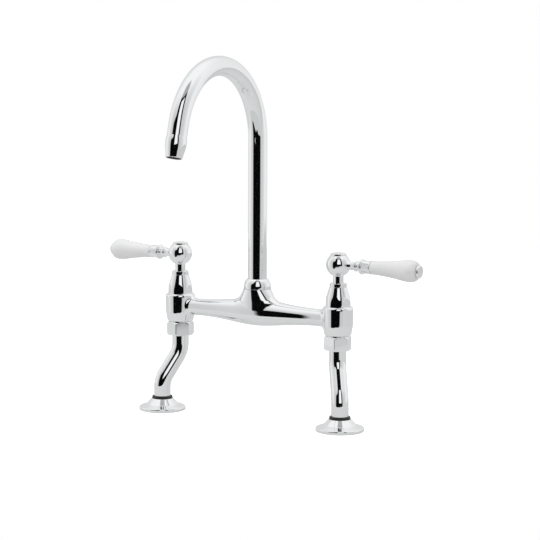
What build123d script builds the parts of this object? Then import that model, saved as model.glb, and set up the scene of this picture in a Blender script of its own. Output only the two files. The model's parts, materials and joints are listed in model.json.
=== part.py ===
from build123d import *
import math
import os

# Twin lever bridge mixer tap for a kitchen sink.
# Millimetres, +Z up. The origin lies on the worktop's upper face, midway between the two tails.
# The user stands on the -Y side. Left and right are the user's.

# Overall sizes
valve_spacing = 192.0
bridge_height = 111.7
riser_top = 292.9
arch_radius = 76.7
arch_sweep = 165.0
lever_reach = 93.0
lever_droop = 0.9
lever_rests = {"left": -5.0, "right": 0.0}
worktop_thickness = 30.0

# Clearances
running_gap = 0.06
sliding_gap = 0.08
face_gap = 0.05
seat_gap = 0.03
seal_gap = 0.04
loose_gap = 0.25

# How far shapes that form one solid reach into each other, and a cut runs past a surface
overlap = 1.0

# Threads, each a plain cylinder at its pitch radius: half-inch pipe thread and a fine 22 mm thread
pipe_thread_major = 10.478
pipe_thread_pitch = 9.897
union_thread_pitch = 10.675
small_thread_pitch = 1.8

# Cranked legs
crank_offset = 21.0
crank_turn = 54.0
leg_slope = 34.0
leg_bend_radius = 26.0
leg_radius = 9.0
leg_bore = 6.6
leg_collar_radius = 10.35
leg_collar_height = 2.1

# Foot flange, its black ring and the seal under it
flange_radius = 25.0
flange_rim = 3.6
flange_cone_base = 17.2
flange_cone_foot = 6.2
flange_cone_top = 11.7
flange_height = 12.4
foot_ring_radius = 10.95
flange_edge_round = 0.8
flange_rim_round = 1.5
flange_cone_round = 2.0
flange_top_round = 0.3
foot_ring_height = 3.6
foot_ring_seat = 0.8
foot_ring_top_round = 1.3
foot_ring_bore_round = 0.5
deck_seal_radius = 20.3
deck_seal_thickness = 3.0

# Threaded tail and what clamps it under the worktop
tail_shank = 16.0
spare_thread = 3.5
tail_groove = 2.0
hose_thread = 14.0
tail_groove_radius = 9.1
clamp_radius = 17.5
clamp_seal_thickness = 3.0
clamp_washer_thickness = 1.5
backnut_flats = 30.0
backnut_height = 8.0
backnut_chamfer = 1.5

# Valve bodies and bridge
body_above = 13.6
body_below = 16.6
body_top_radius = 15.95
body_waist_radius = 15.7
body_waist_height = 10.0
body_foot_radius = 13.9
body_shoulder = 3.0
body_foot_round = 1.4
arm_radius = 9.05
arm_mid_radius = 11.5
belly_radius = 14.3
arm_start = 24.0
arm_mid = 34.0
arm_fillet = 5.0
waterway_radius = 5.0
inlet_radius = 5.5
neck_radius = 11.2
neck_height = 0.9
union_tail = 7.6

# Central column
column_above = 25.1
column_radius = 14.6
column_flare = ((-5.0, 2.9), (-10.0, 5.8), (-14.5, 8.4))
column_inset = 0.2
column_thread_radius = 11.8
column_thread_height = 5.0
socket_radius = 9.6

# Union nut under each valve body
union_nut_flats = 25.8
union_nut_height = 14.2
union_nut_chamfer = 1.4
union_lip = 3.1
union_washer_thickness = 1.5
union_nut_turns = {"left": -18.0, "right": -16.0}

# Valve cartridge
chamber_depth = 24.0
chamber_radius = 9.2
cartridge_skirt_radius = 7.8
cartridge_thread = 12.0
cartridge_flats = 17.0
cartridge_hexagon_height = 6.0
cartridge_neck_height = 19.0
cartridge_neck_radius = 6.6
disc_radius = 6.3
disc_thickness = 2.5
disc_port_radius = 4.5
disc_web = 0.8
seat_washer_bore = 4.2
seat_washer_thickness = 1.6
cartridge_window_rise = 1.0
spindle_radius = 4.0
spindle_foot_height = 2.0
spindle_groove_depth = 1.1
spindle_groove_width = 1.8
spindle_seal_section = 0.5

# Bonnet over the cartridge
bonnet_flats = 24.5
bonnet_height = 23.8
bonnet_collar_height = 4.3
bonnet_collar_radius = 8.95
bonnet_top_radius = 9.4
bonnet_base_radius = 13.1
bonnet_shoulder_radius = 12.7
bonnet_shoulder = 7.6
bonnet_groove_depth = 0.9
bonnet_groove_width = 0.4
bonnet_room = 1.0
bonnet_turns = {"left": 23.0, "right": 13.0}

# Ball shaped lever hub
ball_above_joint = 42.8
ball_radius = 12.9
ball_crown_cut = 3.4
hub_neck_radius = 5.6
hub_neck_entry = 2.0
hub_pocket_radius = 6.0
hub_pocket_depth = 8.0
hub_web = 4.8
cap_radius = 8.4
cap_boss_radius = 7.5
cap_boss_height = 0.35
cap_thickness = 2.5
cap_rim_height = 1.8
cap_crown = 0.3
cap_slope = 1.2
cap_round = 0.8
cap_skirt_length = 4.5
cap_skirt_wall = 1.2
screw_head_radius = 3.8
screw_head_height = 2.4
screw_length = 8.0
screw_socket_flats = 3.0
screw_socket_depth = 1.4

# Lever handle, measured along the lever from the valve axis
stem_socket_radius = 3.0
stem_socket_start = 6.6
stem_start = 10.4
stem_start_radius = 4.9
stem_radius = 4.6
stem_waist_radius = 4.3
stem_waist_at = 16.0
stem_waist_round = 6.0
stem_bead_width = 3.4
stem_bead_at = 20.8
stem_bead_radius = 5.7
stem_bead_slope = 0.6
stem_bead_round = 0.8
ring_bead_at = 27.6
ring_bead_radius = 8.1
ring_bead_width = 3.2
ring_bead_round = 1.5
ferrule_end = 38.6
ferrule_radius = 6.9
ferrule_round = 0.4
ferrule_lip_radius = 7.2
ferrule_lip_width = 1.0
ferrule_lip_slope = 0.4
grip_waist_radius = 7.0
grip_lower = 55.0
grip_lower_radius = 8.05
grip_upper = 70.0
grip_upper_radius = 10.0
grip_bulb = 83.0
grip_bulb_radius = 11.3
grip_end_radius = 6.8
grip_end_gap = 2.9
grip_bore = 2.6
tie_rod_radius = 2.0
tie_rod_start = 25.6
end_cap_radius = 6.7
end_cap_step = 0.7
end_cap_step_height = 0.5
end_cap_round = 0.9
end_cap_face = 1.5

# Swivel spout
spout_radius = 10.0
spout_wall = 1.2
spigot_length = 28.0
spigot_flange_radius = 11.2
spigot_flange_height = 1.4
spigot_plug_length = 12.0
spigot_wall = 1.5
glide_ring_thickness = 0.5
o_ring_section = 0.85
o_ring_groove_height = 2.0
o_ring_depths = (8.0, 16.0)
collar_radius = 14.6
collar_height = 10.6
collar_rim_height = 2.2
collar_shoulder_radius = 13.7
collar_shoulder_height = 6.6
collar_lip = 0.35
spout_straight_end = 14.5

# Nozzle and aerator, measured along the nozzle's own axis
nozzle_length = 21.5
nozzle_top_radius = 10.6
nozzle_widest = 5.0
nozzle_outlet_radius = 8.2
nozzle_socket = 4.0
nozzle_step = 3.0
nozzle_step_radius = 6.3
mouth_radius = 7.5
mouth_depth = 3.6
aerator_radius = 7.2
aerator_seal_thickness = 1.4
aerator_seal_bore = 5.1
aerator_rim = 0.9
aerator_cell = 1.7
aerator_rib = 0.5

# Places worked out from the sizes above
bridge_y = crank_offset * math.sin(math.radians(crank_turn))
foot_x = valve_spacing / 2 + crank_offset * math.cos(math.radians(crank_turn))
body_top = bridge_height + body_above
body_bottom = bridge_height - body_below
union_nut_top = body_bottom - neck_height
union_nut_bottom = union_nut_top - union_nut_height
union_tail_bottom = body_bottom - union_tail
leg_top = union_tail_bottom - union_washer_thickness - face_gap
foot_ring_top = flange_height - foot_ring_seat + foot_ring_height
ball_flat = ball_radius - ball_crown_cut
column_top = bridge_height + column_above
clamp_top = -worktop_thickness
backnut_top = clamp_top - clamp_seal_thickness - clamp_washer_thickness
fixing_thread_end = backnut_top - backnut_height - spare_thread
tail_end = fixing_thread_end - tail_groove - hose_thread
sides = {"left": -1, "right": 1}


def outline(points, rounds=()):
    """A closed outline in the XZ plane. Rounds name corners by their number, each with a radius."""
    face = make_face(Polyline(*[(r, 0, z) for r, z in points], close=True))
    for number, radius in rounds:
        r, z = points[number]
        corner = face.vertices().sort_by_distance((r, 0, z))[0]
        face = fillet(corner, radius)
    return face


def turned(points, rounds=()):
    """The outline turned about the Z axis."""
    return revolve(outline(points, rounds), Axis.Z)


def rod(radius, low, high):
    return Pos(0, 0, (low + high) / 2) * Cylinder(radius, high - low)


def tube(outer, inner, low, high):
    return turned([(inner, low), (outer, low), (outer, high), (inner, high)])


def hexagon(across_flats, low, high, turn=0.0):
    """A hexagonal bar along Z with one corner at the given angle from +X."""
    flat = RegularPolygon(across_flats / 2, 6, major_radius=False, rotation=turn)
    return Pos(0, 0, low) * extrude(flat, high - low)


def chamfered_hexagon(across_flats, low, high, chamfer, turn=0.0):
    """A hexagonal bar whose corners are turned away at both ends."""
    corner = across_flats / math.sqrt(3)
    slope = chamfer * math.tan(math.radians(30))
    limit = turned([
        (0, low), (corner - chamfer, low), (corner, low + slope * 2),
        (corner, high - slope * 2), (corner - chamfer, high), (0, high),
    ])
    return hexagon(across_flats, low, high, turn) & limit


def at_valve(side, z=0.0):
    """The place on one valve's axis at a height above the worktop."""
    return Pos(side * valve_spacing / 2, bridge_y, z)


def at_foot(side):
    return Pos(side * foot_x, 0, 0)


def along_lever(side):
    """Turns a piece made along Z so that Z runs out along the lever from the ball's centre."""
    rest = lever_rests["right" if side > 0 else "left"]
    centre = at_valve(side, body_top + ball_above_joint)
    return centre * Rot(0, 0, rest) * Rot(0, side * (90 + lever_droop), 0)


# Bridge


def valve_body():
    """One end of the bridge, about its own axis: a tapered barrel with a threaded tail below."""
    return turned([
        (0, union_tail_bottom), (union_thread_pitch, union_tail_bottom),
        (union_thread_pitch, union_nut_top), (neck_radius, union_nut_top), (neck_radius, body_bottom),
        (body_foot_radius, body_bottom), (body_waist_radius, body_bottom + body_waist_height),
        (body_top_radius, body_top), (0, body_top),
    ], [(5, body_foot_round), (6, body_waist_height / 2), (7, body_shoulder)])


def bridge_arms():
    """Both arms, turned about the bridge's axis: plain at the valve bodies, swelling to the belly."""
    end = valve_spacing / 2
    start = end - arm_start
    upper = (
        Polyline((-end, 0, 0), (-end, 0, arm_radius), (-start, 0, arm_radius))
        + Spline(
            (-start, 0, arm_radius), (-arm_mid, 0, arm_mid_radius), (0, 0, belly_radius),
            (arm_mid, 0, arm_mid_radius), (start, 0, arm_radius),
            tangents=((1, 0, 0), (1, 0, 0)),
        )
        + Polyline((start, 0, arm_radius), (end, 0, arm_radius), (end, 0, 0), (-end, 0, 0))
    )
    return Pos(0, bridge_y, bridge_height) * revolve(make_face(upper), Axis.X)


def arm_joint(casting, side):
    """The curve along which one arm meets its valve body's inner side."""
    found = []
    for edge in casting.edges():
        middle = edge.position_at(0.5)
        from_arm = math.hypot(middle.Y - bridge_y, middle.Z - bridge_height) - arm_radius
        inward = valve_spacing / 2 - side * middle.X
        from_body = math.hypot(inward, middle.Y - bridge_y) - body_waist_radius
        if abs(from_arm) < sliding_gap and abs(from_body) < body_shoulder and inward > 0:
            found.append(edge)
    return found


def column():
    """The middle column, round at its top and spreading along the arms as it goes down."""
    slices = [Pos(0, 0, 0) * Circle(column_radius)]
    for depth, spread in column_flare:
        slices.append(Pos(0, 0, depth) * Ellipse(column_radius + spread, column_radius))
    slices.append(Pos(0, 0, -column_above) * Ellipse(column_radius, belly_radius - column_inset))
    neck = rod(column_thread_radius, 0, column_thread_height)
    return Pos(0, bridge_y, column_top) * (loft(slices) + neck)


def bridge_casting():
    casting = bridge_arms()
    waterway = Pos(0, bridge_y, bridge_height) * Rot(0, 90, 0) * Cylinder(waterway_radius, valve_spacing)
    socket = Pos(0, bridge_y, 0) * rod(socket_radius, bridge_height, column_top + column_thread_height)
    seat = body_top - chamber_depth
    arm_wall = min(body_above, body_below) - arm_radius
    for side in sides.values():
        casting += at_valve(side) * valve_body()
        casting = fillet(arm_joint(casting, side), min(arm_fillet, 0.9 * arm_wall))
    casting = casting + column() - waterway - socket
    for side in sides.values():
        casting -= at_valve(side) * rod(inlet_radius, union_tail_bottom, seat)
        casting -= at_valve(side) * rod(chamber_radius, seat, body_top - cartridge_thread)
        casting -= at_valve(side) * rod(pipe_thread_pitch, body_top - cartridge_thread, body_top)
    return casting


# Valve cartridge and bonnet, each with Z = 0 at the joint on top of the valve body


def seat_washer():
    bottom = -chamber_depth
    return tube(cartridge_skirt_radius, seat_washer_bore, bottom, bottom + seat_washer_thickness)


def disc_levels():
    """The lower face of the fixed disc, the plane where the discs meet, and the moving disc's top."""
    low = -chamber_depth + seat_washer_thickness
    return low, low + disc_thickness, low + 2 * disc_thickness


def half_moon_port(low, high):
    """The passage through a disc, to one side of its middle."""
    half = Box(2 * disc_radius, 2 * (disc_radius - disc_web), high - low)
    return rod(disc_port_radius, low, high) & (Pos(0, disc_radius, (low + high) / 2) * half)


def fixed_disc():
    low, meet, _ = disc_levels()
    return rod(disc_radius, low, meet) - half_moon_port(low, meet)


def moving_disc():
    _, meet, high = disc_levels()
    low = meet + face_gap
    return rod(disc_radius, low, high) - Rot(0, 0, 180) * half_moon_port(low, high)


def cartridge_body():
    low, meet, high = disc_levels()
    spindle_bore = spindle_radius + running_gap
    inside = disc_radius + sliding_gap
    roof = high + spindle_foot_height + face_gap
    hexagon_top = cartridge_hexagon_height
    body = turned([
        (inside, low), (cartridge_skirt_radius, low), (cartridge_skirt_radius, -cartridge_thread),
        (pipe_thread_pitch - seat_gap, -cartridge_thread), (pipe_thread_pitch - seat_gap, 0),
        (cartridge_neck_radius, 0), (cartridge_neck_radius, cartridge_neck_height),
        (spindle_bore, cartridge_neck_height), (spindle_bore, roof), (inside, roof),
    ])
    body += hexagon(cartridge_flats, 0, hexagon_top) - rod(cartridge_neck_radius - overlap, 0, hexagon_top)
    window = Box(3 * cartridge_skirt_radius, disc_radius, disc_thickness)
    return body - Pos(0, 0, (meet + high) / 2 + cartridge_window_rise) * window


def bonnet(turn):
    """A bell with spanner flats at its base and a plain collar round its top."""
    joint = bonnet_height - bonnet_collar_height
    wall_low = cartridge_flats / math.sqrt(3) + loose_gap
    bore = hub_neck_radius + sliding_gap
    room = cartridge_neck_radius + bonnet_room
    groove = bonnet_top_radius - bonnet_groove_depth
    groove_top = joint + bonnet_groove_width
    shell = make_face(
        Line((0, 0, 0), (bonnet_base_radius, 0, 0))
        + Spline(
            (bonnet_base_radius, 0, 0), (bonnet_shoulder_radius, 0, bonnet_shoulder),
            (bonnet_top_radius, 0, joint),
            tangents=((0, 0, 1), (-0.3, 0, 1)),
        )
        + Polyline(
            (bonnet_top_radius, 0, joint), (groove, 0, joint), (groove, 0, groove_top),
            (bonnet_collar_radius, 0, groove_top), (bonnet_collar_radius, 0, bonnet_height),
            (0, 0, bonnet_height), (0, 0, 0),
        )
    )
    bell = revolve(shell, Axis.Z) & hexagon(bonnet_flats, 0, bonnet_height, turn)
    hollow = turned([
        (0, 0), (wall_low, 0), (wall_low, cartridge_hexagon_height + loose_gap),
        (room, joint - bonnet_room), (bore, joint + bonnet_room), (bore, bonnet_height),
        (0, bonnet_height),
    ])
    return bell - hollow


def spindle_top():
    """Where the spindle ends inside the ball."""
    return ball_above_joint + ball_flat - hub_pocket_depth - hub_web


def spindle():
    _, _, low = disc_levels()
    foot_radius = disc_radius - sliding_gap
    foot_top = low + spindle_foot_height
    top = spindle_top()
    post = turned([
        (0, low), (foot_radius, low), (foot_radius, foot_top), (spindle_radius, foot_top),
        (spindle_radius, top), (0, top),
    ])
    groove_low = spindle_groove() - spindle_groove_width / 2
    groove_floor = spindle_radius - spindle_groove_depth
    post -= tube(spindle_radius + overlap, groove_floor, groove_low, groove_low + spindle_groove_width)
    return post - rod(small_thread_pitch + seat_gap, top - screw_length, top)


def spindle_groove():
    return cartridge_neck_height / 2


def spindle_seal():
    """A small ring in the spindle's groove."""
    middle = spindle_radius + running_gap - seal_gap - spindle_seal_section
    return Pos(0, 0, spindle_groove()) * Torus(middle, spindle_seal_section)


# Lever


def lever_hub():
    """A ball with a flat top, a pocket for the screw, and a neck that enters the bonnet."""
    neck_low = bonnet_height - ball_above_joint - hub_neck_entry
    pocket_floor = ball_flat - hub_pocket_depth
    block = 4 * ball_radius
    ball = Sphere(ball_radius) & (Pos(0, 0, ball_flat - block / 2) * Box(block, block, block))
    hub = ball + rod(hub_neck_radius, neck_low, 0)
    hub -= rod(hub_pocket_radius, pocket_floor, ball_flat)
    hub -= rod(spindle_radius + seat_gap, neck_low, pocket_floor - hub_web)
    hub -= rod(small_thread_pitch + loose_gap, pocket_floor - hub_web, pocket_floor)
    return hub


def placed_hub(side):
    socket = rod(stem_socket_radius + seat_gap, stem_socket_start, ball_radius)
    return at_valve(side, body_top + ball_above_joint) * lever_hub() - along_lever(side) * socket


def hub_screw():
    """A cap screw with a hexagon socket, head up, from the pocket's floor down into the spindle."""
    floor = ball_flat - hub_pocket_depth
    screw = rod(screw_head_radius, floor, floor + screw_head_height)
    screw += rod(small_thread_pitch, floor - screw_length, floor)
    head_top = floor + screw_head_height
    return screw - hexagon(screw_socket_flats, head_top - screw_socket_depth, head_top)


def index_cap():
    low = ball_flat
    skirt = hub_pocket_radius - seat_gap
    inside = skirt - cap_skirt_wall
    high = low + cap_thickness
    return turned([
        (0, low), (inside, low), (inside, low - cap_skirt_length),
        (skirt, low - cap_skirt_length), (skirt, low), (cap_boss_radius, low),
        (cap_boss_radius, low + cap_boss_height), (cap_radius, low + cap_boss_height),
        (cap_radius, low + cap_rim_height), (cap_radius - cap_slope, high), (0, high + cap_crown),
    ], [(8, cap_round)])


def lever_stem():
    """Neck, small bead and ring bead, turned in one, screwed into the ball."""
    bead_low = stem_bead_at - stem_bead_width / 2
    bead_high = stem_bead_at + stem_bead_width / 2
    ring_low = ring_bead_at - ring_bead_width / 2
    ring_high = ring_bead_at + ring_bead_width / 2
    rounds = [(2, stem_waist_round)]
    rounds += [(corner, stem_bead_round) for corner in (4, 5)]
    rounds += [(corner, ring_bead_round) for corner in (8, 9)]
    neck = turned([
        (0, stem_start), (stem_start_radius, stem_start), (stem_waist_radius, stem_waist_at),
        (stem_radius, bead_low), (stem_bead_radius, bead_low + stem_bead_slope),
        (stem_bead_radius, bead_high - stem_bead_slope), (stem_radius, bead_high), (stem_radius, ring_low),
        (ring_bead_radius, ring_low), (ring_bead_radius, ring_high), (0, ring_high),
    ], rounds)
    neck -= Sphere(ball_radius + seat_gap)
    neck += rod(stem_socket_radius, stem_socket_start + seat_gap, stem_waist_at)
    return neck - rod(tie_rod_radius + seat_gap, tie_rod_start - face_gap, ring_high)


def ferrule():
    """A short chrome sleeve that the grip's neck butts against."""
    low = ring_bead_at + ring_bead_width / 2
    bore = tie_rod_radius + loose_gap
    lip = ferrule_end - ferrule_lip_width
    return turned([
        (bore, low), (ferrule_radius, low), (ferrule_radius, lip - ferrule_lip_slope),
        (ferrule_lip_radius, lip), (ferrule_lip_radius, ferrule_end), (bore, ferrule_end),
    ], [(1, ferrule_round)])


def lever_grip():
    """The glazed ceramic grip: slim at the ferrule, swelling to a bulb, with a bore for the tie rod."""
    end = lever_reach - grip_end_gap
    side = make_face(
        Line((grip_bore, 0, ferrule_end), (grip_waist_radius, 0, ferrule_end))
        + Spline(
            (grip_waist_radius, 0, ferrule_end), (grip_lower_radius, 0, grip_lower),
            (grip_upper_radius, 0, grip_upper), (grip_bulb_radius, 0, grip_bulb), (grip_end_radius, 0, end),
            tangents=((0.02, 0, 1), (-1, 0, 0.15)),
        )
        + Line((grip_end_radius, 0, end), (grip_bore, 0, end))
        + Line((grip_bore, 0, end), (grip_bore, 0, ferrule_end))
    )
    return revolve(side, Axis.Z)


def lever_tie_rod():
    return rod(tie_rod_radius, tie_rod_start, lever_reach - end_cap_face - face_gap)


def lever_end_cap():
    low = lever_reach - grip_end_gap
    neck = end_cap_radius - end_cap_step
    rim = low + end_cap_step_height
    cap = turned([
        (0, low), (neck, low), (neck, rim), (end_cap_radius, rim), (end_cap_radius, lever_reach),
        (0, lever_reach),
    ], [(4, end_cap_round)])
    return cap - rod(tie_rod_radius + seat_gap, low, lever_reach - end_cap_face)


# Union nut, leg and foot


def union_nut(turn):
    low, high = union_nut_bottom, union_nut_top - face_gap
    lip_bore = leg_radius + sliding_gap
    thread = union_thread_pitch + seat_gap
    hollow = turned([
        (0, low), (lip_bore, low), (lip_bore, low + union_lip), (thread, low + union_lip),
        (thread, high), (0, high),
    ])
    return chamfered_hexagon(union_nut_flats, low, high, union_nut_chamfer, turn) - hollow


def union_washer():
    low = union_tail_bottom - union_washer_thickness
    return tube(union_thread_pitch - loose_gap, leg_bore, low, union_tail_bottom)


def leg_path(side):
    """Straight down the valve's axis, over to the foot's axis in two equal bends, and down again."""
    middle = (union_nut_bottom + foot_ring_top) / 2
    half = crank_offset / math.tan(math.radians(leg_slope)) / 2
    x, y = side * valve_spacing / 2, bridge_y
    return FilletPolyline(
        (x, y, leg_top), (x, y, middle + half), (side * foot_x, 0, middle - half),
        (side * foot_x, 0, 0), radius=leg_bend_radius,
    )


def leg_tube(side):
    path = leg_path(side)
    start = at_valve(side, leg_top)
    leg = sweep(start * Circle(leg_radius), path) - sweep(start * Circle(leg_bore), path)
    collar = tube(leg_collar_radius, leg_bore, leg_top - leg_collar_height, leg_top)
    return leg + at_valve(side) * collar


def leg_tail():
    """The threaded tail: plain through the worktop, then the fixing thread, then the hose thread."""
    hose = fixing_thread_end - tail_groove
    return turned([
        (leg_bore, 0), (pipe_thread_major, 0), (pipe_thread_major, -tail_shank),
        (pipe_thread_pitch, -tail_shank), (pipe_thread_pitch, fixing_thread_end),
        (tail_groove_radius, fixing_thread_end), (tail_groove_radius, hose), (pipe_thread_pitch, hose),
        (pipe_thread_pitch, tail_end), (leg_bore, tail_end),
    ])


def foot_ring():
    """The black ring that closes the gap between leg and flange."""
    low = flange_height - foot_ring_seat
    return turned([
        (leg_radius + seat_gap, low), (foot_ring_radius, low), (foot_ring_radius, low + foot_ring_height),
        (leg_radius + seat_gap, low + foot_ring_height),
    ], [(2, foot_ring_top_round), (3, foot_ring_bore_round)])


def foot_flange():
    bore = pipe_thread_major + loose_gap
    seat = foot_ring_radius + seat_gap
    seal = deck_seal_radius + loose_gap
    rounds = enumerate((flange_edge_round, flange_rim_round, flange_cone_round, flange_top_round), 1)
    return turned([
        (seal, 0), (flange_radius, 0), (flange_radius, flange_rim), (flange_cone_base, flange_cone_foot),
        (flange_cone_top, flange_height), (seat, flange_height), (seat, flange_height - foot_ring_seat),
        (bore, flange_height - foot_ring_seat), (bore, deck_seal_thickness), (seal, deck_seal_thickness),
    ], rounds)


def deck_seal():
    return tube(deck_seal_radius, pipe_thread_major + loose_gap, 0, deck_seal_thickness)


def clamp_seal():
    return tube(clamp_radius, pipe_thread_pitch + loose_gap, clamp_top - clamp_seal_thickness, clamp_top)


def clamp_washer():
    bore = pipe_thread_pitch + loose_gap
    return tube(clamp_radius, bore, backnut_top, backnut_top + clamp_washer_thickness)


def backnut():
    low = backnut_top - backnut_height
    nut = chamfered_hexagon(backnut_flats, low, backnut_top, backnut_chamfer)
    return nut - rod(pipe_thread_pitch + seat_gap, low, backnut_top)


# Spout, with Z = 0 at the joint on top of the column


def spigot_flange_low():
    return column_thread_height + glide_ring_thickness + face_gap


def spout_spigot():
    """The turned piece that the spout turns on: a sealed spigot, a flange, and a plug in the tube."""
    low = spigot_flange_low()
    high = low + spigot_flange_height
    outer = socket_radius - running_gap
    bottom = low - spigot_length
    plug = spout_radius - spout_wall - seat_gap
    inner = plug - spigot_wall
    spigot = turned([
        (inner, bottom), (outer, bottom), (outer, low), (spigot_flange_radius, low),
        (spigot_flange_radius, high), (plug, high), (plug, high + spigot_plug_length),
        (inner, high + spigot_plug_length),
    ])
    half = o_ring_groove_height / 2
    for depth in o_ring_depths:
        spigot -= tube(outer + overlap, outer - 2 * o_ring_section, -depth - half, -depth + half)
    return spigot


def spout_o_rings():
    middle = socket_radius - seal_gap - o_ring_section
    return [Pos(0, 0, -depth) * Torus(middle, o_ring_section) for depth in o_ring_depths]


def glide_rings():
    """Two slippery rings, under and over the spigot's flange."""
    low = column_thread_height
    over = spigot_flange_low() + spigot_flange_height + face_gap
    inner = spout_radius + sliding_gap
    outer = column_thread_radius - seat_gap
    return [
        tube(outer, inner, low, low + glide_ring_thickness),
        tube(outer, inner, over, over + glide_ring_thickness),
    ]


def spout_collar():
    """The domed nut that holds the spout down on the column."""
    roof = spigot_flange_low() + spigot_flange_height + glide_ring_thickness + face_gap
    bore = spout_radius + sliding_gap
    lip = bore + collar_lip
    thread = column_thread_radius + seat_gap
    dome = make_face(
        Polyline((0, 0, face_gap), (collar_radius, 0, face_gap), (collar_radius, 0, collar_rim_height))
        + Spline(
            (collar_radius, 0, collar_rim_height), (collar_shoulder_radius, 0, collar_shoulder_height),
            (lip, 0, collar_height),
            tangents=((0, 0, 1), (-1, 0, 0.35)),
        )
        + Polyline((lip, 0, collar_height), (0, 0, collar_height), (0, 0, face_gap))
    )
    hollow = turned([
        (0, 0), (thread, 0), (thread, roof), (bore, roof), (bore, collar_height + overlap),
        (0, collar_height + overlap),
    ])
    return revolve(dome, Axis.Z) - hollow


def arch_point(angle):
    """A point on the spout's centre line, by its angle round the arch from the riser."""
    turn = math.radians(angle)
    y = bridge_y - arch_radius * (1 - math.cos(turn))
    return 0, y, riser_top + arch_radius * math.sin(turn)


def end_direction():
    turn = math.radians(arch_sweep)
    return 0, -math.sin(turn), math.cos(turn)


def beyond_arch(length):
    """A point on the straight run past the arch's end."""
    return tuple(p + length * d for p, d in zip(arch_point(arch_sweep), end_direction()))


def spout_path():
    low = column_top + spigot_flange_low() + spigot_flange_height
    return (
        Line((0, bridge_y, low), arch_point(0))
        + ThreePointArc(arch_point(0), arch_point(arch_sweep / 2), arch_point(arch_sweep))
        + Line(arch_point(arch_sweep), beyond_arch(spout_straight_end))
    )


def along_nozzle():
    """The place of the tube's end, with Z pointing back up the tube."""
    return Pos(*beyond_arch(spout_straight_end)) * Rot(arch_sweep - 180, 0, 0)


def spout_tube():
    """The bent tube. Its end is turned down to enter the nozzle."""
    path = spout_path()
    start = Pos(0, bridge_y, column_top + spigot_flange_low() + spigot_flange_height)
    inner = spout_radius - spout_wall
    bent = sweep(start * Circle(spout_radius), path) - sweep(start * Circle(inner), path)
    turned_down = tube(spout_radius + overlap, nozzle_bore() - seat_gap, 0, nozzle_socket)
    return bent - along_nozzle() * turned_down


def nozzle_bore():
    return spout_radius - spout_wall / 2


def spout_nozzle():
    """A slightly swelling sleeve over the tube's end, tapering to the mouth."""
    top = nozzle_socket
    bottom = nozzle_socket - nozzle_length
    widest = nozzle_socket - nozzle_widest
    bore = nozzle_bore()
    chamber = aerator_radius + seat_gap
    half = make_face(
        Line((bore, 0, top), (spout_radius, 0, top))
        + Spline(
            (spout_radius, 0, top), (nozzle_top_radius, 0, widest), (nozzle_outlet_radius, 0, bottom),
            tangents=((0.2, 0, -1), (-0.13, 0, -1)),
        )
        + Polyline(
            (nozzle_outlet_radius, 0, bottom), (mouth_radius, 0, bottom),
            (mouth_radius, 0, bottom + mouth_depth), (chamber, 0, bottom + mouth_depth),
            (chamber, 0, -nozzle_step), (nozzle_step_radius, 0, -nozzle_step),
            (nozzle_step_radius, 0, 0), (bore, 0, 0), (bore, 0, top),
        )
    )
    return revolve(half, Axis.Z)


def aerator_seal():
    low = -nozzle_step - aerator_seal_thickness
    return tube(aerator_radius, aerator_seal_bore, low, -nozzle_step)


def aerator():
    """A plastic insert with a lattice of square cells that the water falls through."""
    high = -nozzle_step - aerator_seal_thickness
    low = nozzle_socket - nozzle_length + mouth_depth
    insert = rod(aerator_radius, low, high)
    pitch = aerator_cell + aerator_rib
    reach = int(aerator_radius / pitch)
    limit = aerator_radius - aerator_rim - aerator_cell * math.sqrt(2) / 2
    for column_number in range(-reach, reach + 1):
        for row_number in range(-reach, reach + 1):
            x, y = column_number * pitch, row_number * pitch
            if math.hypot(x, y) < limit:
                insert -= Pos(x, y, (low + high) / 2) * Box(aerator_cell, aerator_cell, high - low)
    return insert


def save(name, *solids):
    shape = solids[0] if len(solids) == 1 else Compound(children=list(solids))
    export_step(shape, f"parts/{name}.step")


def build_side(name, side):
    joint = at_valve(side, body_top)
    ball = at_valve(side, body_top + ball_above_joint)
    lever = along_lever(side)
    foot = at_foot(side)
    save(f"{name}_seat_washer", joint * seat_washer())
    save(f"{name}_fixed_disc", joint * fixed_disc())
    save(f"{name}_cartridge_body", joint * cartridge_body())
    save(f"{name}_bonnet", joint * bonnet(bonnet_turns[name]))
    save(f"{name}_union_nut", at_valve(side) * union_nut(union_nut_turns[name]))
    save(f"{name}_union_washer", at_valve(side) * union_washer())
    save(f"{name}_moving_disc", joint * moving_disc())
    save(f"{name}_spindle", joint * spindle())
    save(f"{name}_spindle_seal", joint * spindle_seal())
    save(f"{name}_lever_hub", placed_hub(side))
    save(f"{name}_hub_screw", ball * hub_screw())
    save(f"{name}_index_cap", ball * index_cap())
    save(f"{name}_lever_stem", lever * lever_stem())
    save(f"{name}_lever_ferrule", lever * ferrule())
    save(f"{name}_lever_grip", lever * lever_grip())
    save(f"{name}_lever_tie_rod", lever * lever_tie_rod())
    save(f"{name}_lever_end_cap", lever * lever_end_cap())
    save(f"{name}_leg_tube", leg_tube(side))
    save(f"{name}_leg_tail", foot * leg_tail())
    save(f"{name}_foot_ring", foot * foot_ring())
    save(f"{name}_foot_flange", foot * foot_flange())
    save(f"{name}_deck_seal", foot * deck_seal())
    save(f"{name}_clamp_seal", foot * clamp_seal())
    save(f"{name}_clamp_washer", foot * clamp_washer())
    save(f"{name}_backnut", foot * backnut())


def build_spout():
    joint = Pos(0, bridge_y, column_top)
    save("spout_collar", joint * spout_collar())
    save("spout_glide_rings", *[joint * ring for ring in glide_rings()])
    save("spout_spigot", joint * spout_spigot())
    save("spout_o_rings", *[joint * ring for ring in spout_o_rings()])
    save("spout_tube", spout_tube())
    save("spout_nozzle", along_nozzle() * spout_nozzle())
    save("aerator_seal", along_nozzle() * aerator_seal())
    save("aerator", along_nozzle() * aerator())


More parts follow.
